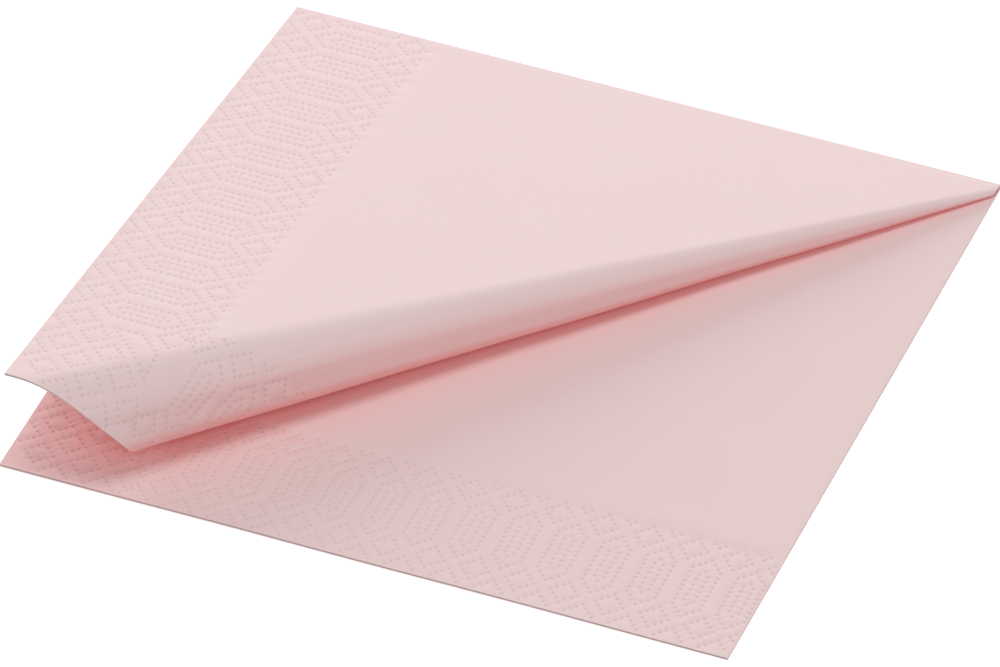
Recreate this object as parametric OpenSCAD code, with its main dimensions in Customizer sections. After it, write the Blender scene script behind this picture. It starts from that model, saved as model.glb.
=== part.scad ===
// Folded paper napkin: one square sheet folded twice into a quarter-size square,
// with its upper leaf raised, bent over a ridge and rolled back under itself.
//
// The folded square is centred on the origin and lies on the plane z = 0. The first
// fold runs along +X, the second along +Y, and they meet at the closed corner.
// A place on a leaf is given by two distances on the open sheet: across, from the
// first fold, and along, from the second fold. Offsets are measured from the middle
// plane between the two leaves, which the sheet wraps around at the second fold.

/* [Sheet] */
// Side of the open square sheet
sheet_side = 330; // [240:10:400]
// Thickness of the sheet, its plies bonded together
paper = 0.22; // [0.15:0.01:0.25]

/* [Folds] */
// Free space between two layers that lie on each other
layer_gap = 0.05; // [0.03:0.01:0.08]
// Height that the second fold leaves open between the two leaves
fold_opening = 0.64; // [0.62:0.02:0.9]
// How far the raised corner steps back from the corner below it
corner_step = 1.1; // [0:0.1:1.5]

/* [Raised leaf] */
// Height that the free corner of the upper leaf is raised
leaf_lift = 23.4; // [18:0.1:28]
// Direction of the ridge on the open sheet, from the second fold, in degrees
ridge_angle = 47.6; // [47:0.1:48]
// Radius of the ridge where it meets the open edge
ridge_radius = 10.5; // [6:0.5:12]
// Where the ridge starts on the first fold, below the second fold
ridge_start = 0.65; // [0.5:0.05:1.5]
// How far the straight lines of the bend meet beyond the closed corner
fan_reach = 10; // [8:0.5:20]

/* [Rolled flap] */
// Direction of the roll seen from above, from the second fold, in degrees
roll_angle = 48.5; // [48:0.1:49]
// Radius of the roll where it meets the open edge
roll_radius = 5.7; // [4:0.1:7]
// Height that the roll gains on its way to the open edge
roll_rise = 2.9; // [1:0.1:4]
// Space between the flap and the lower leaf at the closed corner
flap_rest = 0.1; // [0.05:0.01:0.3]

/* [Smoothness] */
// Facets around the second fold
fold_steps = 16; // [8:1:24]
// Facets around the first fold
edge_steps = 8; // [4:1:12]
// Facets over the ridge
ridge_steps = 14; // [8:1:24]
// Facets around the roll
roll_steps = 26; // [12:1:36]
// Facets along each line from the first fold to a cut edge
line_steps = 8; // [6:1:10]

/* [Hidden] */
rose = [0.93, 0.80, 0.80];

// Sizes of the folded square
side = sheet_side / 2;
edge = side / 2;
pitch = paper + layer_gap;

// Offsets of the two layers of a leaf: the first is outermost, the second inside
inner_offset = layer_gap + paper / 2;
outer_offset = inner_offset + pitch;
leaf_skin = outer_offset + paper / 2;
mid_offset = (inner_offset + outer_offset) / 2;

// The second fold is a bend about a line parallel to X
fold_radius = fold_opening / 2;
fold_y = edge - fold_radius - leaf_skin;
fold_z = leaf_skin + fold_radius;
neutral_radius = fold_radius + mid_offset;
lift_angle = asin(leaf_lift / side);
lower_run = neutral_radius * 90 * PI / 180;
upper_run = neutral_radius * (90 - lift_angle) * PI / 180;

// The first fold is a half circle between the two layers of each leaf
edge_radius = pitch / 2;
edge_centre = edge_radius + paper / 2;

// The straight lines of the bend fan out from one point beyond the closed corner,
// on the line from the raised corner through the start of the ridge
ridge_base = upper_run + ridge_start;
corner_across = side - corner_step;
corner_slope = (side - ridge_base) / corner_across;
fan_across = fan_reach;
fan_along = fan_reach * corner_slope - ridge_base;
fan_x = edge + fan_across;
fan_y = fold_y + fold_radius * sin(lift_angle) + (fan_along + upper_run) * cos(lift_angle);
fan_z = fold_z + fold_radius * cos(lift_angle) - (fan_along + upper_run) * sin(lift_angle);

// The leaf, the slope behind the ridge and the flap lie in three planes
flap_z = 2 * paper + layer_gap + flap_rest + leaf_skin;
open_reach = (side + fan_along) / sin(ridge_angle);
rise_angle = asin(roll_rise / (open_reach - fan_reach * sqrt(2)));
ridge_line = leaf_direction(ridge_angle);
roll_line = [
    -cos(roll_angle) * cos(rise_angle),
    -sin(roll_angle) * cos(rise_angle),
    sin(rise_angle)
];
leaf_normal = [0, sin(lift_angle), cos(lift_angle)];
slope_normal = unit(cross(ridge_line, roll_line));
flap_normal = unit(cross([sin(roll_angle), -cos(roll_angle), 0], roll_line));

// Each bend between two planes is a round cone, with its tip at the fan point
ridge_spread = asin(ridge_radius / open_reach);
roll_spread = asin(roll_radius / open_reach);
ridge_axis = cone_axis(leaf_normal, slope_normal, ridge_spread, ridge_line);
roll_axis = cone_axis(slope_normal, flap_normal, roll_spread, roll_line);
ridge_from = touching(ridge_axis, leaf_normal, ridge_spread);
ridge_to = touching(ridge_axis, slope_normal, ridge_spread);
roll_from = touching(roll_axis, slope_normal, roll_spread);
roll_to = touching(roll_axis, flap_normal, roll_spread);
ridge_turn = turn_about(ridge_axis, ridge_to, ridge_from);
roll_turn = turn_about(roll_axis, roll_to, roll_from);

// Directions on the open sheet at which the bends start and end
ridge_start_angle = acos(-ridge_from.x);
ridge_end_angle = ridge_start_angle + ridge_turn * sin(ridge_spread);
roll_start_angle = ridge_end_angle + turn_about(slope_normal, ridge_to, roll_from);
roll_end_angle = roll_start_angle + roll_turn * sin(roll_spread);

// Distance from the fan point at which the bent part sinks to the flap's own height
level_reach = (flap_z - fan_z) / ridge_from.z;

// Vectors
function unit(v) = v / norm(v);
function turned(v, axis, angle) =
    v * cos(angle) + cross(axis, v) * sin(angle) + axis * (axis * v) * (1 - cos(angle));
function turn_about(axis, from, to) =
    let (u = from - axis * (axis * from), v = to - axis * (axis * to))
    atan2(axis * cross(u, v), u * v);

// A cone of the given half angle that touches two planes through its tip
function cone_axis(first, second, spread, along) =
    let (
        inward = -sin(spread) / (1 + first * second) * (first + second),
        shared = unit(cross(first, second))
    )
    inward + sqrt(1 - inward * inward) * shared * sign(shared * along);
function touching(axis, normal, spread) = (axis + sin(spread) * normal) / cos(spread);

// Direction in space of the line that leaves the fan point at an angle on the sheet
function leaf_direction(angle) = [
    -cos(angle),
    -sin(angle) * cos(lift_angle),
    sin(angle) * sin(lift_angle)
];
function line_direction(angle) =
    angle <= ridge_start_angle
        ? leaf_direction(angle)
    : angle <= ridge_end_angle
        ? turned(ridge_from, ridge_axis, (ridge_start_angle - angle) / sin(ridge_spread))
    : angle <= roll_start_angle
        ? turned(ridge_to, slope_normal, angle - ridge_end_angle)
    : angle <= roll_end_angle
        ? turned(roll_from, roll_axis, (roll_start_angle - angle) / sin(roll_spread))
    : turned(roll_to, flap_normal, angle - roll_end_angle);

// Middle plane of the upper leaf, by distance and angle from the fan point
function bent_plane(reach, angle) =
    let (line = line_direction(angle))
    angle <= ridge_start_angle
        ? [fan_x, fan_y, fan_z] + reach * line
        : [fan_x, fan_y, flap_z] + [reach * line.x, reach * line.y, (reach - level_reach) * line.z];

// A point of the upper leaf at an offset from its middle plane
small_reach = 0.01;
small_angle = 0.01;
function upper_point(across, along, offset) =
    let (
        u = across + fan_across,
        v = along + fan_along,
        reach = norm([u, v]),
        angle = atan2(v, u),
        outward = bent_plane(reach + small_reach, angle) - bent_plane(reach - small_reach, angle),
        onward = bent_plane(reach, angle + small_angle) - bent_plane(reach, angle - small_angle)
    )
    bent_plane(reach, angle) + offset * unit(cross(outward, onward));

// A point of the second fold, by the angle turned from the lower leaf
function fold_point(across, turn, offset) = [
    edge - across,
    fold_y + (fold_radius + offset) * sin(turn),
    fold_z - (fold_radius + offset) * cos(turn)
];

// A point of the lower leaf, which lies flat
function lower_point(across, along, offset) = [
    edge - across,
    fold_y + lower_run - along,
    leaf_skin - offset
];

// Path of the sheet over a leaf and back: the outer layer, the first fold and the
// inner layer, as [distance across, share of the rest of the way to the cut edge,
// offset]. The face is 1 for the outside of the fold and -1 for the inside.
// The steps grow toward the cut edge, since the bends are tightest at the first fold.
step_growth = 2.5;
function sheet_path(face) =
    let (
        radius = edge_radius + face * paper / 2,
        shares = [for (i = [1 : line_steps]) pow(i / line_steps, step_growth)]
    )
    concat(
        [
            for (i = [line_steps - 1 : -1 : 0])
                [edge_centre, shares[i], outer_offset + face * paper / 2]
        ],
        [
            for (i = [0 : edge_steps])
                let (turn = 180 * i / edge_steps)
                [edge_centre - radius * sin(turn), 0, mid_offset + radius * cos(turn)]
        ],
        [
            for (i = [0 : line_steps - 1])
                [edge_centre, shares[i], inner_offset - face * paper / 2]
        ]
    );

// Lines that cross the sheet from the first fold to a cut edge. Each is
// [kind, value, reach], where the value is the distance along the lower leaf, the
// turn of the second fold or the angle of a line of the fan, and the reach is how
// far across the sheet the line goes.
LOWER = 0;
FOLD = 1;
FAN = 2;
CUT = 3;

// A line of the fan ends at the side cut edge before the raised corner, and at the
// end cut edge after it
corner_angle = atan((side + fan_along) / (corner_across + fan_across));
step_slope = corner_step / side;
function fan_line_end(angle) =
    min(
        (side + fan_across + step_slope * fan_along) / (1 + step_slope * tan(angle)),
        (side + fan_along) / tan(angle)
    ) - fan_across;

bend_angles = concat(
    [for (i = [0 : ridge_steps])
        ridge_start_angle + (ridge_end_angle - ridge_start_angle) * i / ridge_steps],
    [for (i = [0 : roll_steps])
        roll_start_angle + (roll_end_angle - roll_start_angle) * i / roll_steps]
);
fan_angles = concat(
    [for (angle = bend_angles) if (angle < corner_angle) angle],
    [corner_angle],
    [for (angle = bend_angles) if (angle > corner_angle) angle]
);
lines = concat(
    [[LOWER, side, side]],
    [for (i = [0 : fold_steps]) [FOLD, (180 - lift_angle) * i / fold_steps, side]],
    [for (angle = fan_angles) [FAN, angle, fan_line_end(angle)]],
    [[CUT, side, edge_centre + paper]]
);

// One vertex: a point of the sheet's path on one of the crossing lines
function sheet_point(line, step) =
    let (across = step[0] + step[1] * (line[2] - step[0]), offset = step[2])
    line[0] == LOWER ? lower_point(across, line[1], offset)
    : line[0] == FOLD ? fold_point(across, line[1], offset)
    : line[0] == FAN
        ? upper_point(across, (across + fan_across) * tan(line[1]) - fan_along, offset)
    : upper_point(across, line[1], offset);

// The napkin: one closed skin around the whole folded sheet. Its vertices are the
// points of the outside face, line by line, and then those of the inside face.
module napkin() {
    outside = sheet_path(1);
    inside = sheet_path(-1);
    steps = len(outside);
    last_step = steps - 1;
    last_line = len(lines) - 1;
    vertices = concat(
        [for (line = lines) for (step = outside) sheet_point(line, step)],
        [for (line = lines) for (step = inside) sheet_point(line, step)]
    );
    function out(line, step) = line * steps + step;
    function in(line, step) = (len(lines) + line) * steps + step;
    faces = concat(
        [for (i = [1 : last_line]) for (j = [1 : last_step])
            each quad(out(i - 1, j - 1), out(i - 1, j), out(i, j), out(i, j - 1))],
        [for (i = [1 : last_line]) for (j = [1 : last_step])
            each quad(in(i - 1, j - 1), in(i, j - 1), in(i, j), in(i - 1, j))],
        [for (i = [1 : last_line])
            each quad(out(i - 1, 0), out(i, 0), in(i, 0), in(i - 1, 0))],
        [for (i = [1 : last_line])
            each quad(out(i, last_step), out(i - 1, last_step), in(i - 1, last_step), in(i, last_step))],
        [for (j = [1 : last_step])
            each quad(out(0, j), out(0, j - 1), in(0, j - 1), in(0, j))],
        [for (j = [1 : last_step])
            each quad(out(last_line, j - 1), out(last_line, j), in(last_line, j), in(last_line, j - 1))]
    );
    color(rose) polyhedron(vertices, faces, convexity = 8);
}

function quad(a, b, c, d) = [[a, b, c], [a, c, d]];

napkin();
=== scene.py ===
# %% [markdown]
# A folded paper napkin. The real object is one square of tissue, folded twice into a
# quarter, with a border of tiny embossed dots. One free corner is raised, bent over
# and rolled under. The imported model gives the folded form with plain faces. This
# script makes the same sheet again with real pits for the dots, gives it a tissue
# finish, and sets up a pale floor, soft light and the camera.

# %% Load the frame
import math

import bpy
import numpy as np
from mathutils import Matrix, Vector
from mathutils.geometry import delaunay_2d_cdt
from mathutils.kdtree import KDTree


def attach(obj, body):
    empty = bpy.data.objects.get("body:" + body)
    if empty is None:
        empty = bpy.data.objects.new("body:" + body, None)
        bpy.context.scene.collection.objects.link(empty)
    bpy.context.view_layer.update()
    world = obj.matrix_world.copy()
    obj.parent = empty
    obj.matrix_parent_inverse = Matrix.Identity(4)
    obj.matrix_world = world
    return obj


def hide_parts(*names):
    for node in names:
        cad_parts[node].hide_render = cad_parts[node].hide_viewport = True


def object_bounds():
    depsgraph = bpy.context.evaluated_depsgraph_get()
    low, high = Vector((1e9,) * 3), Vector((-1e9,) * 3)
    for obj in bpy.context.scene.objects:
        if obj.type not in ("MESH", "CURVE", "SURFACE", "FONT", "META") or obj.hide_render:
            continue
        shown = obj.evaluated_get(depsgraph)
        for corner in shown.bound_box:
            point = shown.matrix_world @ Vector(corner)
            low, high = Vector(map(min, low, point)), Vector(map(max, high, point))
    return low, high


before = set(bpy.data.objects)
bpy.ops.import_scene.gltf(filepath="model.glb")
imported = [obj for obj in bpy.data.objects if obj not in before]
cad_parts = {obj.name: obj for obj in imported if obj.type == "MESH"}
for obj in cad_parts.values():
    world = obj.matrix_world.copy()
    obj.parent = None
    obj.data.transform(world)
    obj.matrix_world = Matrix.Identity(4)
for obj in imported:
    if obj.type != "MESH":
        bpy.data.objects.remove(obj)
cad_low, cad_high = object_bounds()
scene = bpy.context.scene
print("frame nodes:", sorted(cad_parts))

# %% [markdown]
# The photograph was taken with a long lens from the front right, about forty degrees
# above the table. A long lens keeps parallel edges nearly parallel, so the camera
# stands far away and its lens is long. It looks along one direction, and Blender's
# track quaternion turns that into a rotation without any guessing of angles.

# %% Camera
camera_place = Vector((0.76615, -1.91626, 1.75375))
camera_direction = Vector((-0.28323, 0.70701, -0.64801))
camera_lens = 455.4

camera_data = bpy.data.cameras.new("camera")
camera_data.lens = camera_lens
camera_data.sensor_width = 36
camera_data.clip_end = 20
camera = bpy.data.objects.new("camera", camera_data)
camera.location = camera_place
camera.rotation_mode = "QUATERNION"
camera.rotation_quaternion = camera_direction.to_track_quat("-Z", "Y")
scene.collection.objects.link(camera)
scene.camera = camera
print("camera distance:", round(camera_place.length, 3))

# %% [markdown]
# The folded form has a few driving sizes, in millimetres and degrees. They are those
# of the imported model, so the fine sheet fills the same space. Its side is read from
# the frame. The radii hold at the open edge, since every bend of the raised leaf
# narrows towards the closed corner.

# %% Sizes of the folded sheet
side = round(1000 * (cad_high.x - cad_low.x))
paper = 0.22
layer_gap = 0.05
fold_opening = 0.64
corner_step = 1.1  # how far the raised corner stands back from the one below it
leaf_lift = 23.4
ridge_angle = math.radians(47.6)
ridge_radius = 10.5
ridge_start = 0.65  # where the ridge starts on the first fold, from the second one
fan_across = 10  # how far beyond the closed corner the lines of the bends meet
roll_angle = math.radians(48.5)
roll_radius = 5.7
roll_rise = 2.9
flap_rest = 0.1
print("folded side:", side, "mm, paper:", paper, "mm")

# %% [markdown]
# Two layers of paper make a leaf. Offsets count from the middle plane between the two
# leaves: the outer layer lies further out than the inner one. The first fold is a
# half circle between those two layers. A sharp crease would be simpler, but a real
# fold of tissue is round, and the round edge is what catches the light.

# %% The first fold
edge = side / 2
pitch = paper + layer_gap
leaf_skin = 2 * pitch
middle_offset = layer_gap + pitch - layer_gap / 2
edge_radius = pitch / 2
edge_centre = edge_radius + paper / 2
edge_arc = edge_radius * math.pi / 2
print("a leaf is", round(leaf_skin, 2), "mm thick")

# %% [markdown]
# The second fold is a round bend about a line along X. The upper leaf leaves it at a
# small angle, since its free corner is raised. Arc lengths on the fold are measured
# at the middle of the leaf's thickness.

# %% The second fold
fold_radius = fold_opening / 2
fold_y = edge - fold_radius - leaf_skin
fold_z = leaf_skin + fold_radius
neutral_radius = fold_radius + middle_offset
lift = math.asin(leaf_lift / side)
lower_run = neutral_radius * math.pi / 2
upper_run = neutral_radius * (math.pi / 2 - lift)
print("leaf lifts by", round(math.degrees(lift), 2), "degrees")

# %% [markdown]
# Paper bends without stretching, so each bend is made of straight lines. Here the
# lines fan out from one point just beyond the closed corner. The leaf, the slope
# behind the ridge and the flap are three planes through that point, and a round cone
# joins each plane to the next. A cloth simulation could bend a sheet too, but it is
# hard to steer to the shape in the photograph. The helpers below find those cones.


# %% Vectors and cones
def unit(v):
    return v / np.linalg.norm(v, axis=-1, keepdims=True)


def turned(v, axis, angle):
    """v turned about axis by each of the angles."""
    c = np.cos(angle)[..., None]
    s = np.sin(angle)[..., None]
    return v * c + np.cross(axis, v) * s + axis * (axis @ v) * (1 - c)


def turn_about(axis, start, end):
    """Angle about axis from start to end."""
    u = start - axis * (axis @ start)
    v = end - axis * (axis @ end)
    return math.atan2(axis @ np.cross(u, v), u @ v)


def cone_axis(first, second, spread, along):
    """Axis of the cone of that half angle which touches two planes through its tip."""
    inward = -math.sin(spread) / (1 + first @ second) * (first + second)
    shared = unit(np.cross(first, second))
    return inward + math.sqrt(1 - inward @ inward) * shared * np.sign(shared @ along)


def touching(axis, normal, spread):
    """Line along which a cone touches the plane with that normal."""
    return (axis + math.sin(spread) * normal) / math.cos(spread)


def leaf_direction(angle):
    """Direction in space of the leaf's line at each angle on the sheet."""
    sine = np.sin(angle)
    return np.stack([-np.cos(angle), -sine * math.cos(lift), sine * math.sin(lift)], -1)


ridge_line = leaf_direction(np.array(ridge_angle))
print("the ridge would run along", ridge_line.round(3), "on a plane leaf")

# %% [markdown]
# With the helpers, the three planes follow from the driving sizes. The leaf's plane
# rises from the second fold. The slope's plane holds the ridge and the roll, and the
# flap's plane holds the roll and a level line under the leaf.

# %% Planes of the raised leaf
ridge_base = upper_run + ridge_start
fan_along = fan_across * (side - ridge_base) / (side - corner_step) - ridge_base
fan_point = np.array([
    edge + fan_across,
    fold_y + fold_radius * math.sin(lift) + (fan_along + upper_run) * math.cos(lift),
    fold_z + fold_radius * math.cos(lift) - (fan_along + upper_run) * math.sin(lift),
])
open_reach = (side + fan_along) / math.sin(ridge_angle)
rise = math.asin(roll_rise / (open_reach - fan_across * math.sqrt(2)))

roll_line = np.array([
    -math.cos(roll_angle) * math.cos(rise),
    -math.sin(roll_angle) * math.cos(rise),
    math.sin(rise),
])
level_line = np.array([math.sin(roll_angle), -math.cos(roll_angle), 0])
leaf_normal = np.array([0, math.sin(lift), math.cos(lift)])
slope_normal = unit(np.cross(ridge_line, roll_line))
flap_normal = unit(np.cross(level_line, roll_line))
print("all lines meet at", fan_point.round(2), "mm")

# %% [markdown]
# The two bends are cones that touch those planes. Each stretch of the leaf is kept as
# the angle on the sheet where it starts, the line there, the axis that its lines turn
# about and how fast they turn. Angles on the sheet are true to the open paper, so the
# bent leaf could be laid flat again without stretching.

# %% Bends of the raised leaf
ridge_spread = math.asin(ridge_radius / open_reach)
roll_spread = math.asin(roll_radius / open_reach)
ridge_axis = cone_axis(leaf_normal, slope_normal, ridge_spread, ridge_line)
roll_axis = cone_axis(slope_normal, flap_normal, roll_spread, roll_line)
ridge_from = touching(ridge_axis, leaf_normal, ridge_spread)
ridge_to = touching(ridge_axis, slope_normal, ridge_spread)
roll_from = touching(roll_axis, slope_normal, roll_spread)
roll_to = touching(roll_axis, flap_normal, roll_spread)

ridge_begin = math.acos(-ridge_from[0])
ridge_end = ridge_begin + turn_about(ridge_axis, ridge_to, ridge_from) * math.sin(ridge_spread)
roll_begin = ridge_end + turn_about(slope_normal, ridge_to, roll_from)
roll_end = roll_begin + turn_about(roll_axis, roll_to, roll_from) * math.sin(roll_spread)
bends = [
    (ridge_begin, ridge_from, ridge_axis, -1 / math.sin(ridge_spread)),
    (ridge_end, ridge_to, slope_normal, 1),
    (roll_begin, roll_from, roll_axis, -1 / math.sin(roll_spread)),
    (roll_end, roll_to, flap_normal, 1),
]
print("bends start and end at", [round(math.degrees(b[0]), 2) for b in bends])

# %% [markdown]
# Now any place on the raised leaf can be found from its distance to the fan point and
# its angle. The fan point lies lower than the flap can, so past the ridge the leaf is
# lifted a little, by about a millimetre at the flap. That stretches the paper slightly
# close to the closed corner. Offsets are along the bent paper's own normal, which is
# the cross product of two tiny steps on it. NumPy works out all places at once, which
# keeps a fine mesh quick.

# %% Points of the raised leaf
flap_z = 2 * paper + layer_gap + flap_rest + leaf_skin
level_reach = (flap_z - fan_point[2]) / ridge_from[2]
reach_step = 0.01
angle_step = 0.0002


def line_direction(angle):
    direction = leaf_direction(angle)
    for start, line, axis, rate in bends:
        beyond = angle > start
        direction[beyond] = turned(line, axis, (angle[beyond] - start) * rate)
    return direction


def bent_plane(reach, angle):
    """Middle plane of the upper leaf, lifted past the ridge for its flap to lie on top."""
    direction = line_direction(angle)
    point = fan_point + reach[:, None] * direction
    past = angle > ridge_begin
    point[past, 2] = flap_z + (reach[past] - level_reach) * direction[past, 2]
    return point


def upper_point(across, along, offset):
    u = across + fan_across
    v = along + fan_along
    reach = np.hypot(u, v)
    angle = np.arctan2(v, u)
    outward = bent_plane(reach + reach_step, angle) - bent_plane(reach - reach_step, angle)
    onward = bent_plane(reach, angle + angle_step) - bent_plane(reach, angle - angle_step)
    return bent_plane(reach, angle) + offset[:, None] * unit(np.cross(outward, onward))


middle = np.array([side / 2])
print("middle of the upper leaf:", upper_point(middle, middle, np.zeros(1))[0].round(1))

# %% [markdown]
# The rest of the sheet is simpler: the second fold is part of a cylinder, and the
# lower leaf lies flat on the table. The upper leaf is cut a touch short towards its
# raised corner, as the photograph shows it standing back there.


# %% Points of the second fold and the lower leaf
def fold_point(across, turn, offset):
    radius = fold_radius + offset
    return np.stack([
        edge - across,
        fold_y + radius * np.sin(turn),
        fold_z - radius * np.cos(turn),
    ], -1)


def lower_point(across, along, offset):
    return np.stack([edge - across, fold_y + lower_run - along, leaf_skin - offset], -1)


def cut_edge(t):
    """Distance from the first fold to the cut edge that runs along t."""
    return side - corner_step * np.maximum(t, 0) / side


print("cut edge of the upper leaf at its corner:", cut_edge(side), "mm from the fold")

# %% [markdown]
# Soft tissue never lies quite flat. Three long sine waves that cross each other give
# the open leaves a slight unrest, a tenth or two of a millimetre high. On the lower
# leaf they only rise, as the table is under it. Noise would do as well; a sum of
# sines takes a few lines of NumPy. It calms down near the folds, where the paper has
# been pressed.

# %% Gentle waves
wave_height = 0.12
wave_runs = [(9, 23), (-31, 11), (17, 17)]  # mm across and along for a radian of each
calm_width = 45
lower_phase = 1
upper_phase = 4


def calm(across, along):
    """From 0 at the folds to 1 on the open leaf, so that the folds stay as pressed."""
    share = np.clip(np.minimum(across, along) / calm_width, 0, 1)
    return share * share * (3 - 2 * share)


def waves(across, along, phase):
    """Gentle waves of soft tissue, between -1 and 1."""
    total = 0
    for number, (run_across, run_along) in enumerate(wave_runs, 1):
        total = total + np.sin(across / run_across + along / run_along + number * phase)
    return total / len(wave_runs)


print("the waves rise", wave_height, "mm and their calm ends", calm_width, "mm from a fold")

# %% [markdown]
# One function then puts any place of the open sheet where it lies in the folded
# napkin. A place has two numbers: s runs across the first fold, positive on the outer
# layer and negative on the inner one, and t runs along it, positive on the upper leaf.
# Folding by a formula, and not by modelling each layer, keeps the sheet in one piece.


# %% From the open sheet to the folded napkin
def place(s, t, face, depth=0):
    """Points of the folded sheet. face is 1 for its outside and -1 for its inside."""
    turn = math.pi / 2 * (1 - np.clip(s / edge_arc, -1, 1))
    radius = edge_radius + face * paper / 2 - depth
    stretch = (cut_edge(t) - edge_centre) / (side - edge_arc)
    across = edge_centre - radius * np.sin(turn)
    across = across + np.maximum(np.abs(s) - edge_arc, 0) * stretch
    offset = middle_offset + radius * np.cos(turn)
    points = fold_point(across, math.pi / 2 + t / neutral_radius, offset)
    lower = t < -lower_run
    upper = t > upper_run
    low = (across[lower], -t[lower])
    points[lower] = lower_point(*low, offset[lower])
    points[lower, 2] += wave_height * calm(*low) * (1 + waves(*low, lower_phase))
    high = (across[upper], t[upper])
    wave = wave_height * calm(*high) * waves(*high, upper_phase)
    points[upper] = upper_point(*high, offset[upper] + wave)
    return points


corners = np.array([side, -side], float)
print("raised corner and the corner below it:", place(corners, corners, 1).round(1).tolist())

# %% [markdown]
# The border is a common geometric one: hexagons, diamonds and chevrons drawn in dots
# about a millimetre and a half apart. Each motif is an outline with evenly spaced
# dots, so a few corner points and counts describe it. Distances are from the cut
# edge, and along it from the middle of a hexagon. A third number says how deep a dot
# is pressed, as a share of the full depth.


# %% Dotted outlines
def dotted(corners, gaps, depth=1):
    """Dots along an outline, with so many gaps on each side. Other sides stay bare."""
    dots = []
    for i, count in enumerate(gaps):
        x0, y0 = corners[i]
        x1, y1 = corners[(i + 1) % len(corners)]
        for k in range(count):
            share = k / count
            dots.append((x0 + (x1 - x0) * share, y0 + (y1 - y0) * share, depth))
    return dots


def diamond(x, y, half_x=3.27, half_y=3.1):
    corners = [(x - half_x, y), (x, y + half_y), (x + half_x, y), (x, y - half_y)]
    return dotted(corners, [3] * 4)


def hexagon(x, y, tip, row, half, slant_gaps, row_gaps, depth=1):
    corners = [
        (x - tip, y), (x - row, y + half), (x + row, y + half),
        (x + tip, y), (x + row, y - half), (x - row, y - half),
    ]
    return dotted(corners, [slant_gaps, row_gaps, slant_gaps] * 2, depth)


print("dots in a diamond:", len(diamond(0, 0)))

# %% [markdown]
# Two groups take turns along the band. The first is a hexagon with a slimmer one
# inside it, pressed a little less, and a diamond at each of its two tips. The
# sheet's edge cuts off one of these and the band's end the other, which leaves
# chevrons. The second is a pair of diamonds between two hexagons.

# %% Motifs of one repeat
repeat = 10.07
band_width = 33
diamond_row = 6.4
diamond_step = 5.25
edge_row = diamond_row - diamond_step
hexagon_row = 17.9
inner_hexagon_row = 17.95
far_diamond_row = 29.4
chevron_row = 34.8


def hexagon_group(y):
    """One hexagon with the smaller one inside it and the diamonds at its two tips."""
    outer = hexagon(hexagon_row, y, tip=9.4, row=6.12, half=3.09, slant_gaps=3, row_gaps=8)
    inner = hexagon(
        inner_hexagon_row, y, tip=5.55, row=4.2, half=1.03, slant_gaps=1, row_gaps=5, depth=0.9
    )
    return outer + inner + diamond(edge_row, y) + diamond(chevron_row, y)


def diamond_pair(y):
    return diamond(diamond_row, y) + diamond(far_diamond_row, y)


print("dots in one repeat:", len(hexagon_group(0) + diamond_pair(0)))

# %% [markdown]
# At each corner of the sheet the border turns through a field of diamonds, a bevelled
# figure across the diagonal and one more diamond on it. The chevron beside that
# diamond has a mirror image about the diagonal, so one is written and the other is
# mirrored.

# %% Corner of the border
field_steps = 6
diagonal_diamond = 27.4
bevel = [(14.2, 26.3), (20.9, 26.3), (26.3, 20.9), (26.3, 14.2)]
chevron = [(30.3, 30.1), (28.6, 32), (31.7, 35.1)]


def corner_motif():
    """Dots near a corner, by their distances from the two cut edges."""
    dots = []
    for a in range(field_steps):
        for b in range(field_steps):
            if (a + b) % 2 == 0 and 0 < a + b <= field_steps:
                dots += diamond(edge_row + diamond_step * a, edge_row + diamond_step * b)
    dots += diamond(diagonal_diamond, diagonal_diamond)
    dots += dotted(bevel, [4, 5, 4, 10])
    arm = dotted(chevron, [2, 3])
    return dots + arm + [(y, x, depth) for x, y, depth in arm]


print("dots in one corner:", len(corner_motif()))

# %% [markdown]
# The four bands run along the cut edges of the open sheet, straight across the folds,
# and stop where the corners begin. The pair along the sides and the pair along the
# ends start at different phases, as the photograph shows.

# %% Bands and corners
corner_size = 30
pair_margin = 1
side_phase = 0.5
end_phase = -3.9


def band(phase):
    """Dots of one band: distance from the cut edge, place along it, and depth."""
    dots = []
    last = int((side - corner_size) / repeat) + 1
    for k in range(-last, last + 1):
        centre = phase + repeat * k
        if abs(centre) < side - corner_size:
            dots += hexagon_group(centre)
        if abs(centre + repeat / 2) < side - corner_size - pair_margin:
            dots += diamond_pair(centre + repeat / 2)
    return [dot for dot in dots if dot[0] < band_width]


def border():
    """Dots of the four bands and the four corners, by their places s and t."""
    dots = []
    for sign in (1, -1):
        dots += [(sign * (side - x), y, depth) for x, y, depth in band(side_phase)]
        dots += [(y, sign * (side - x), depth) for x, y, depth in band(end_phase)]
        for other in (1, -1):
            for x, y, depth in corner_motif():
                dots.append((sign * (side - x), other * (side - y), depth))
    return dots


print("dots drawn:", len(border()))

# %% [markdown]
# Some of the drawn dots are left out: those that would fall on a fold, where the
# paper is pressed flat, on the very edge, or on top of another dot. The others go
# into a tree, which quickly finds the nearest dot to any place.

# %% Dots that stay
pit_radius = 0.6
dot_spacing = 1
edge_margin = 0.1
first_fold_margin = 0.8
second_fold_band = (-1.8, 2.2)


def stays(dot):
    """True for a dot that is clear of the cut edges and of both folds."""
    s, t = dot[:2]
    start, end = second_fold_band
    on_sheet = max(abs(s), abs(t)) < side - pit_radius - edge_margin
    return on_sheet and abs(s) > first_fold_margin and not start < t < end


def spaced(dots):
    """The dots without those that lie on an earlier one."""
    kept = {}
    for dot in dots:
        column = round(dot[0])
        row = round(dot[1])
        cells = [(column + i, row + j) for i in (-1, 0, 1) for j in (-1, 0, 1)]
        near = [kept[cell] for cell in cells if cell in kept]
        if all(math.dist(dot[:2], other[:2]) > dot_spacing for other in near):
            kept[column, row] = dot
    return list(kept.values())


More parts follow.
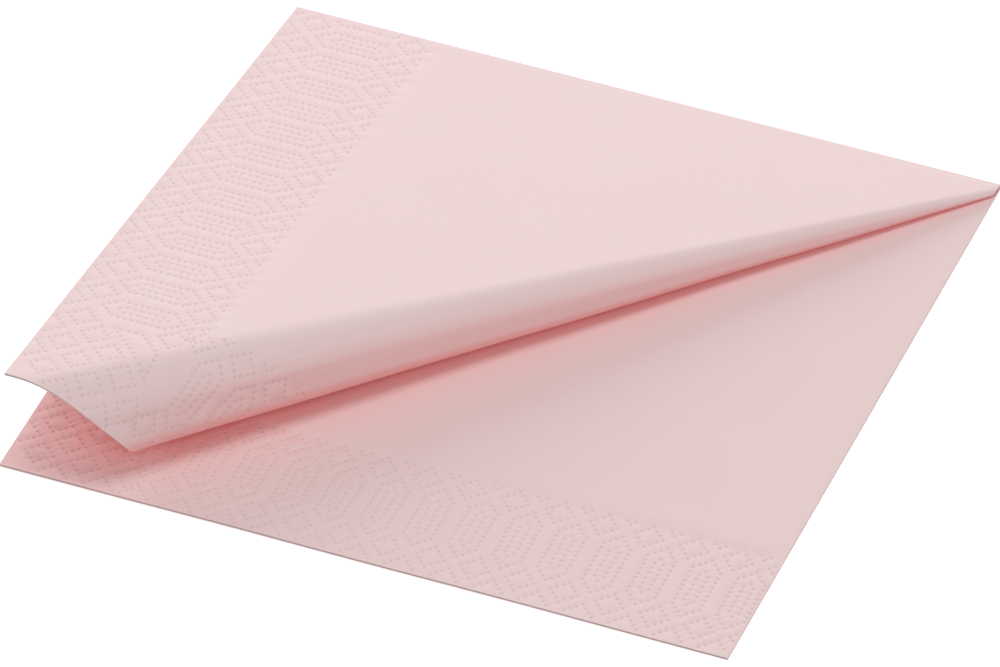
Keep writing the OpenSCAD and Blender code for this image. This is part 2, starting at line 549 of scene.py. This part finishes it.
dots = spaced([dot for dot in border() if stays(dot)])
dot_tree = KDTree(len(dots))
for number, dot in enumerate(dots):
    dot_tree.insert((dot[0], dot[1], 0), number)
dot_tree.balance()
print("dots on the sheet:", len(dots))

# %% [markdown]
# The mesh is made flat first and folded afterwards. Blender's Delaunay triangulation
# joins loose points into triangles and keeps chosen lines as edges. The chosen lines
# are the cut edges, the two folds and the straight lines of the bends, so no triangle
# cuts across a fold. Between them a sparse grid is enough, as the paper is flat there.
# A subdivided grid would need many times the faces for bends as round as these.

# %% Lines that the mesh follows
grid_step = 5
grid_margin = 1
ridge_lines = 17
roll_lines = 31
fold_lines = 17
edge_lines = 9

bend_angles = np.concatenate([
    np.linspace(ridge_begin, ridge_end, ridge_lines),
    np.linspace(roll_begin, roll_end, roll_lines),
])
fold_turns = np.linspace(0, math.pi - lift, fold_lines)
fold_rows = ((fold_turns - math.pi / 2) * neutral_radius).tolist()
edge_columns = (np.linspace(-1, 1, edge_lines) * edge_arc).tolist()
spread_steps = np.arange(grid_step, side - grid_margin, grid_step).tolist()
mirrored_steps = [-x for x in reversed(spread_steps)] + spread_steps
print("lines of the bends:", len(bend_angles), "rows of the second fold:", len(fold_rows))

# %% [markdown]
# Each line of a bend starts at the first fold and runs out to a cut edge. It is
# straight in space and on the open sheet alike, so two small formulas find any place
# on it. The points crowd together near the closed corner, where the bend is tightest.

# %% Lines of the bends
line_margin = 1


def on_outer_layer(across, along):
    """s on the outer layer for a place on the leaf."""
    stretch = (cut_edge(along) - edge_centre) / (side - edge_arc)
    return edge_arc + (across - edge_centre) / stretch


def line_along(across, angle):
    return (across + fan_across) * math.tan(angle) - fan_along


def line_end(angle):
    """Distance across at which a line of the bend meets a cut edge."""
    slope = corner_step / side
    at_side = (side + fan_across + slope * fan_along) / (1 + slope * math.tan(angle))
    at_end = (side + fan_along) / math.tan(angle)
    return min(at_side, at_end) - fan_across


def bend_line(angle, start, end, count, growth=1):
    """Points (s, t) along one line of the bend on the outer layer."""
    across = start + (end - start) * np.linspace(0, 1, count) ** growth
    along = np.minimum(line_along(across, angle), side)
    s = np.minimum(on_outer_layer(across, along), side)
    return list(zip(s.tolist(), along.tolist()))


line_crossings = [line_along(edge_centre, a) for a in bend_angles]
calm_along = [t for t in spread_steps if t > line_crossings[-1] + line_margin]
print("the bends cross the first fold up to", round(line_crossings[-1], 1), "mm along it")

# %% [markdown]
# A drawing collects points and lines. Points are looked up by their place, so lines
# that meet share one point, and no two points lie on each other.


# %% The flat drawing
class Drawing:
    """Points and lines on the open sheet, ready for the triangulation."""

    def __init__(self):
        self.points = []
        self.index = {}
        self.lines = []

    def point(self, s, t):
        key = (round(s, 5), round(t, 5))
        if key not in self.index:
            self.index[key] = len(self.points)
            self.points.append(Vector((s, t)))
        return self.index[key]

    def line(self, places):
        ids = [self.point(*p) for p in places]
        self.lines += [(a, b) for a, b in zip(ids, ids[1:]) if a != b]


outside = Drawing()
inside = Drawing()
print("two empty drawings, one for each face of the paper")

# %% [markdown]
# The cut edges come first. Both faces of the paper get the same places on them, so
# that a narrow wall can join the faces later. Where a line of a bend reaches the
# edge, the edge has a point too, or the bend would end in a flat facet.

# %% Cut edges
hair = 1e-3
fine_hair = 1e-6


def cut_edge_places():
    """Places round the four cut edges, in order."""
    ends = [bend_line(a, edge_centre, line_end(a), count=2)[-1] for a in bend_angles]
    on_side = [t for s, t in ends if s > side - fine_hair and t < side - hair]
    on_end = [s for s, t in ends if s < side - hair]
    first = min(on_end) - line_margin
    last = max(on_end) + line_margin
    high_half = [x for x in spread_steps if not first < x < last] + on_end
    low_end = sorted(mirrored_steps + edge_columns)
    high_end = sorted([-x for x in high_half] + high_half + edge_columns)
    side_rows = sorted(mirrored_steps + fold_rows + on_side)
    return (
        [(-side, -side)] + [(s, -side) for s in low_end]
        + [(side, -side)] + [(side, t) for t in side_rows]
        + [(side, side)] + [(s, side) for s in reversed(high_end)]
        + [(-side, side)] + [(-side, t) for t in reversed(side_rows)]
    )


rim_places = cut_edge_places()
for drawing in (outside, inside):
    drawing.line(rim_places + rim_places[:1])
print("places on the cut edges:", len(rim_places))

# %% [markdown]
# Next are the folds. Narrow columns follow the first fold and narrow rows the second,
# close enough for both to look round. Where the bends of the raised leaf cross the
# first fold, the columns take a point on each of their lines.


# %% Folds
def between_columns(angle):
    """One line of the bend where it crosses the first fold."""
    turns = math.pi / 2 * (1 - np.array(edge_columns) / edge_arc)
    across = edge_centre - edge_radius * np.sin(turns)
    return [(s, float(line_along(a, angle))) for s, a in zip(edge_columns, across)]


def draw_folds(drawing):
    crossings = [between_columns(a) for a in bend_angles]
    for j, s in enumerate(edge_columns):
        rows = [-x for x in reversed(spread_steps)] + fold_rows
        rows += [line[j][1] for line in crossings] + calm_along
        drawing.line([(s, -side)] + [(s, t) for t in rows] + [(s, side)])
    for crossing in crossings:
        drawing.line(crossing)
    row = sorted(mirrored_steps + edge_columns + [-side, side])
    for t in fold_rows:
        drawing.line([(s, t) for s in row])


for drawing in (outside, inside):
    draw_folds(drawing)
print("lines with the folds:", len(outside.lines))

# %% [markdown]
# The lines of the bends lie on the outer and the inner layer, so each is drawn twice,
# mirrored about the first fold. On the outside of the paper they break up into loose
# points where the border begins, because a line through a dot would spoil its round
# rim. The inside has no dots, and its lines run on to the edge.

# %% Bends
dot_margin = 0.15
loose_margin = 0.3


def clear_of_dots(s, t):
    return dot_tree.find((s, t, 0))[2] > pit_radius + dot_margin


def draw_bends(drawing, ruled_to_the_edge):
    """The lines of the bends. In the border they can be loose points, round the dots."""
    for angle in bend_angles:
        inner_end = (side - band_width + fan_along) / math.tan(angle) - fan_across
        first = bend_line(angle, edge_centre, inner_end, count=14, growth=1.8)
        rest = bend_line(angle, inner_end, line_end(angle), count=30)
        for sign in (1, -1):
            drawing.line([(sign * s, t) for s, t in first])
            if ruled_to_the_edge:
                drawing.line([(sign * s, t) for s, t in (first[-1], rest[-1])])
                continue
            for s, t in rest[1:-1]:
                if clear_of_dots(sign * s, t) and side - t > loose_margin:
                    drawing.point(sign * s, t)


draw_bends(outside, False)
draw_bends(inside, True)
print("lines with the bends:", len(outside.lines), len(inside.lines))

# %% [markdown]
# A sparse grid of loose points fills the plane parts. It keeps the triangles well
# shaped, and it carries the gentle waves. It keeps away from the bends, where the
# lines do the work, and outside from the dots.

# %% Grid
bend_margin = 1.5


def draw_grid(drawing, dodge_dots):
    steps = np.arange(grid_step / 2, side - grid_margin, grid_step).tolist()
    for a in steps:
        for b in steps:
            angle = math.atan2(b + fan_along, a + fan_across)
            clearance = bend_margin / math.hypot(a + fan_across, b + fan_along)
            for s, t in ((a, b), (-a, b), (a, -b), (-a, -b)):
                bent = t > 0 and ridge_begin - clearance < angle < roll_end + clearance
                if not bent and (not dodge_dots or clear_of_dots(s, t)):
                    drawing.point(s, t)


draw_grid(outside, True)
draw_grid(inside, False)
print("points with the grid:", len(outside.points), len(inside.points))

# %% [markdown]
# Each embossed dot is a tiny pit. A round pit with many points would be smoother, but
# there are thousands of them, so each gets only what it needs: six points round its
# rim, six round its floor, turned a little against the rim, and its middle. On the
# two faces that lie on the table and under the raised leaf, four points and the
# middle are enough.

# %% Dots
floor_share = 0.3
ring_points = 6
hidden_ring_points = 4


def draw_ring(drawing, s, t, share, count):
    """Points round a dot, at a share of its radius and turned by that share of a step."""
    for k in range(count):
        turn = 2 * math.pi * (k + share) / count
        radius = pit_radius * share
        drawing.point(s + radius * math.cos(turn), t + radius * math.sin(turn))


def draw_dots(drawing):
    """Each pit's middle and the ring at its rim, and where it shows, one round its floor."""
    for dot in dots:
        s, t = dot[:2]
        shows = s * t > 0
        drawing.point(s, t)
        draw_ring(drawing, s, t, 1, ring_points if shows else hidden_ring_points)
        if shows:
            draw_ring(drawing, s, t, floor_share, ring_points)


draw_dots(outside)
print("points outside and inside:", len(outside.points), len(inside.points))

# %% [markdown]
# Each drawing becomes triangles, and each point goes to its folded place. Points in a
# pit sink along the paper's own normal. An embossing pin leaves a steep wall and a
# small floor, so every point of the floor has the full depth and the rim has none. A
# shallow cone was tried first, and it didn't show at this size.

# %% Triangulate and fold
pit_depth = 0.17
sunk_share = 0.5
keep_all_triangles = 0
merge_distance = 1e-6


def triangles(drawing):
    found = delaunay_2d_cdt(
        drawing.points, drawing.lines, [], keep_all_triangles, merge_distance
    )
    places = np.array([(v.x, v.y) for v in found[0]])
    return places, [tuple(f) for f in found[2]]


def pit_depths(places):
    """How deep each place is pressed: a floor by its dot's depth, anything else not."""
    depths = np.zeros(len(places))
    for i, (s, t) in enumerate(places):
        number, distance = dot_tree.find((s, t, 0))[1:]
        if distance < sunk_share * pit_radius:
            depths[i] = pit_depth * dots[number][2]
    return depths


out_places, out_faces = triangles(outside)
in_places, in_faces = triangles(inside)
depths = pit_depths(out_places)
out_points = place(out_places[:, 0], out_places[:, 1], 1, depths)
in_points = place(in_places[:, 0], in_places[:, 1], -1)
print("triangles outside and inside:", len(out_faces), len(in_faces))

# %% [markdown]
# The two faces of the paper meet along the cut edges, where a narrow wall shows the
# paper's thickness. A Solidify modifier could thicken one face, but it would press
# the pits through to the other side and make the folded layers cross. Joining the
# two faces into one closed mesh keeps the sheet one piece, as the real one is.

# %% One closed sheet
shift = len(out_places)


def rim(places):
    """Points on the cut edges, in order round the sheet."""
    on_rim = np.flatnonzero(np.abs(places).max(axis=1) > side - hair)
    bearing = np.arctan2(places[on_rim, 1], places[on_rim, 0])
    return on_rim[np.argsort(bearing)].tolist()


def wall_faces():
    """Narrow walls that join the two faces of the paper along the cut edges."""
    pairs = list(zip(rim(out_places), [i + shift for i in rim(in_places)]))
    return [(c, a, b, d) for (a, b), (c, d) in zip(pairs, pairs[1:] + pairs[:1])]


paper_faces = out_faces + [(c + shift, b + shift, a + shift) for a, b, c in in_faces]
walls = wall_faces()
sheet_points = np.concatenate([out_points, in_points]) / 1000
mesh = bpy.data.meshes.new("napkin_sheet")
mesh.from_pydata(sheet_points.tolist(), [], paper_faces + walls)
print("faces of the paper and walls at its cut edges:", len(paper_faces), len(walls))

# %% [markdown]
# The finish needs to know more than the shape. The open sheet's places become the UV
# map, so that any pattern follows the paper round its folds. Two attributes say how
# deep each point is pressed and which faces are cut edges. They are made from the
# same numbers as the mesh, so nothing has to be painted by hand.

# %% What the finish reads
uv_map = mesh.uv_layers.new(name="open_sheet")
corner_points = np.zeros(len(mesh.loops), dtype=int)
mesh.loops.foreach_get("vertex_index", corner_points)
sheet_places = np.concatenate([out_places, in_places])
uv_map.data.foreach_set("uv", (sheet_places[corner_points] / (2 * side) + 0.5).ravel())


def store(name, domain, values):
    attribute = mesh.attributes.new(name, "FLOAT", domain)
    attribute.data.foreach_set("value", values)


store("pressed", "POINT", np.concatenate([depths / pit_depth, np.zeros(len(in_points))]))
store("cut_edge", "FACE", [0.0] * len(paper_faces) + [1.0] * len(walls))
print("pressed points:", np.count_nonzero(depths))

# %% [markdown]
# Blender can shade a face as flat or as part of a smooth surface. Paper bends
# smoothly, so its faces are smooth, with a sharp line only where two of them meet at
# a wide angle, as at the cut edges. The pits are pressed by hard pins, so their
# small facets stay flat and show crisply.

# %% The napkin
sharp_angle = math.radians(30)

sheet = bpy.data.objects.new("napkin_sheet", mesh)
scene.collection.objects.link(sheet)
sunk = set(np.flatnonzero(depths > 0).tolist())
for polygon in mesh.polygons:
    polygon.use_smooth = sunk.isdisjoint(polygon.vertices)
mesh.set_sharp_from_angle(angle=sharp_angle)
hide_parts("napkin")
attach(sheet, "root")
print("faces of the sheet:", len(sheet.data.polygons))

# %% [markdown]
# Tissue paper has no shine, only a faint bloom where short fibres stand up and catch
# the light from behind. Real fibres could be grown on it as hair, but no one would
# see them at this distance. The Principled shader's sheen does the same with one
# number, on a rough surface.

# %% Tissue surface
tissue = bpy.data.materials.new("dyed_tissue")
tissue.use_nodes = True
nodes = tissue.node_tree.nodes
links = tissue.node_tree.links
shader = nodes["Principled BSDF"]
shader.inputs["Roughness"].default_value = 0.9
shader.inputs["Sheen Weight"].default_value = 1
shader.inputs["Sheen Roughness"].default_value = 0.5
shader.inputs["Sheen Tint"].default_value = (1, 0.86, 0.86, 1)
sheet.data.materials.append(tissue)
print("finish:", tissue.name)

# %% [markdown]
# The paper is dyed a pale rose that isn't quite even. A broad noise mixes two close
# shades of it. The noise is read on the open sheet, scaled to millimetres, so that
# its patches run on round the folds and have a real size. A second, fine noise stands
# for the fibres.

# %% Dye and fibres
pale_rose = (0.965, 0.755, 0.745, 1)
deep_rose = (0.955, 0.735, 0.725, 1)
dye_scale = 0.05
fibre_scale = 2.2

sheet_place = nodes.new("ShaderNodeUVMap")
sheet_place.uv_map = "open_sheet"
in_millimetres = nodes.new("ShaderNodeMapping")
in_millimetres.inputs["Scale"].default_value = (2 * side, 2 * side, 1)
links.new(sheet_place.outputs["UV"], in_millimetres.inputs["Vector"])


def noise(scale, detail):
    """A noise over the sheet whose features are about 1 / scale millimetres."""
    node = nodes.new("ShaderNodeTexNoise")
    node.inputs["Scale"].default_value = scale
    node.inputs["Detail"].default_value = detail
    links.new(in_millimetres.outputs["Vector"], node.inputs["Vector"])
    return node


def colour_mix(factor, second):
    """A mix towards a second colour, by a factor from 0 to 1. Its first colour is set later."""
    node = nodes.new("ShaderNodeMix")
    node.data_type = "RGBA"
    node.inputs["B"].default_value = second
    links.new(factor, node.inputs["Factor"])
    return node


dye = noise(dye_scale, detail=3)
fibres = noise(fibre_scale, detail=4)
dyed = colour_mix(dye.outputs["Fac"], deep_rose)
dyed.inputs["A"].default_value = pale_rose
print("patches of dye are about", 1 / dye_scale, "mm wide")

# %% [markdown]
# The paper in a pit is pressed dense, and the pits get a darker colour: partly for that
# denser paper, partly as painted shade in the hollows. The cut edges look greyer than
# the faces. A painted texture could hold both, but here they follow the attributes of
# the mesh, so the darker spots sit exactly in the pits.

# %% Pressed dots with painted shade, and cut edges
# The pit colour is darker for the denser pressed paper and as painted shade in the pit.
pressed_and_shaded_rose = (0.85, 0.665, 0.655, 1)
edge_grey = (0.62, 0.52, 0.53, 1)


def stored(name):
    """The value that the mesh keeps under that name."""
    node = nodes.new("ShaderNodeAttribute")
    node.attribute_name = name
    return node.outputs["Fac"]


# The pressed depth darkens each pit: partly denser paper, partly painted shade.
with_pressed_and_shaded_pits = colour_mix(stored("pressed"), pressed_and_shaded_rose)
links.new(dyed.outputs["Result"], with_pressed_and_shaded_pits.inputs["A"])
with_edges = colour_mix(stored("cut_edge"), edge_grey)
links.new(with_pressed_and_shaded_pits.outputs["Result"], with_edges.inputs["A"])
print("colour of a pressed dot:", pressed_and_shaded_rose[:3])

# %% [markdown]
# Between the leaves the real napkin glows in a deep warm red. Light soaks into dyed
# tissue and passes its fibres again and again, and takes up more colour each time.
# A translucent shader should do that, but it came out darker and less red.
# So light that bounces from the paper takes a deeper colour than the camera sees,
# and a faint red glow is added to it. Light Path's Is Diffuse Ray tells the two apart.

# %% Light inside the folds
soaked_red = (1, 0.2, 0.18, 1)
glow_red = (1, 0.04, 0.04, 1)
glow_strength = 0.045

light_path = nodes.new("ShaderNodeLightPath")
bounced = colour_mix(light_path.outputs["Is Diffuse Ray"], soaked_red)
links.new(with_edges.outputs["Result"], bounced.inputs["A"])
links.new(bounced.outputs["Result"], shader.inputs["Base Color"])
glow = nodes.new("ShaderNodeMath")
glow.operation = "MULTIPLY"
glow.inputs[1].default_value = glow_strength
links.new(light_path.outputs["Is Diffuse Ray"], glow.inputs[0])
shader.inputs["Emission Color"].default_value = glow_red
links.new(glow.outputs["Value"], shader.inputs["Emission Strength"])
print("glow that only other faces of the paper see:", glow_strength)

# %% [markdown]
# The fibres also roughen the surface by a tenth of a millimetre. That is too fine for
# the mesh, so a bump turns the normals by the fine noise and leaves the shape alone.

# %% Fibre bump
bump = nodes.new("ShaderNodeBump")
bump.inputs["Strength"].default_value = 0.15
bump.inputs["Distance"].default_value = 0.0001
links.new(fibres.outputs["Fac"], bump.inputs["Height"])
links.new(bump.outputs["Normal"], shader.inputs["Normal"])
print("nodes in the finish:", len(nodes))

# %% [markdown]
# The napkin lies on a plain white floor that runs on without an edge. Only what the
# camera sees of the floor is lifted to white; the light that it throws back at the
# napkin stays that of a pale table. It lies a hair below the paper, so that the two
# never share a plane.

# %% Floor
floor_half = 6
floor_drop = 0.0002
floor_lift = 0.7

floor_mesh = bpy.data.meshes.new("floor")
floor_mesh.from_pydata(
    [(-floor_half, -floor_half, 0), (floor_half, -floor_half, 0),
     (floor_half, floor_half, 0), (-floor_half, floor_half, 0)],
    [], [(0, 1, 2, 3)],
)
floor = bpy.data.objects.new("floor", floor_mesh)
floor.location.z = -floor_drop
scene.collection.objects.link(floor)

floor_finish = bpy.data.materials.new("floor_white")
floor_finish.use_nodes = True
floor_nodes = floor_finish.node_tree.nodes
floor_links = floor_finish.node_tree.links
floor_shader = floor_nodes["Principled BSDF"]
floor_shader.inputs["Base Color"].default_value = (0.9, 0.9, 0.9, 1)
floor_shader.inputs["Roughness"].default_value = 1
floor_shader.inputs["Emission Color"].default_value = (1, 1, 1, 1)
seen_by = floor_nodes.new("ShaderNodeLightPath")
lifted = floor_nodes.new("ShaderNodeMath")
lifted.operation = "MULTIPLY"
lifted.inputs[1].default_value = floor_lift
floor_links.new(seen_by.outputs["Is Camera Ray"], lifted.inputs[0])
floor_links.new(lifted.outputs["Value"], floor_shader.inputs["Emission Strength"])
floor_mesh.materials.append(floor_finish)
print("floor at", round(floor.location.z * 1000, 2), "mm")

# %% [markdown]
# The light in the photograph is soft and comes mostly from behind on the left, low
# over the far side: the dots are dark at their far wall and bright at their near one,
# and the slope that faces the camera is darker than the leaf. One big low disc stands
# for that window. A second one overhead lights the leaves evenly, and a third in
# front keeps the shaded side open. Broad discs are used because small lamps would
# draw hard shadows.


# %% Lamps
def area_light(name, place, size, power):
    """A round lamp that points at the napkin."""
    data = bpy.data.lights.new(name, "AREA")
    data.shape = "DISK"
    data.size = size
    data.energy = power
    lamp = bpy.data.objects.new(name, data)
    lamp.location = place
    lamp.rotation_mode = "QUATERNION"
    lamp.rotation_quaternion = (-Vector(place)).to_track_quat("-Z", "Y")
    scene.collection.objects.link(lamp)


area_light("window", place=(-0.84, 1.73, 0.46), size=1.3, power=25)
area_light("top", place=(0, 0.2, 2.2), size=1.2, power=14.5)
area_light("fill", place=(0.9, -1.6, 1.6), size=1.6, power=11)

# %% [markdown]
# A pale sky all round softens what is left of the shadows. The camera sees it as
# plain white, but it lights the napkin much less, or the embossed dots would drown.
# The Standard view shows each colour about as it is written.

# %% Sky
sky_light = 0.29

world = bpy.data.worlds.new("sky")
world.use_nodes = True
world_nodes = world.node_tree.nodes
world_links = world.node_tree.links
sky = world_nodes["Background"]
sky.inputs["Color"].default_value = (1, 1, 1, 1)
world_path = world_nodes.new("ShaderNodeLightPath")
sky_level = world_nodes.new("ShaderNodeMapRange")
sky_level.inputs["To Min"].default_value = sky_light
sky_level.inputs["To Max"].default_value = 1
world_links.new(world_path.outputs["Is Camera Ray"], sky_level.inputs["Value"])
world_links.new(sky_level.outputs["Result"], sky.inputs["Strength"])
scene.world = world
scene.view_settings.view_transform = "Standard"
print("sky light:", sky_light)
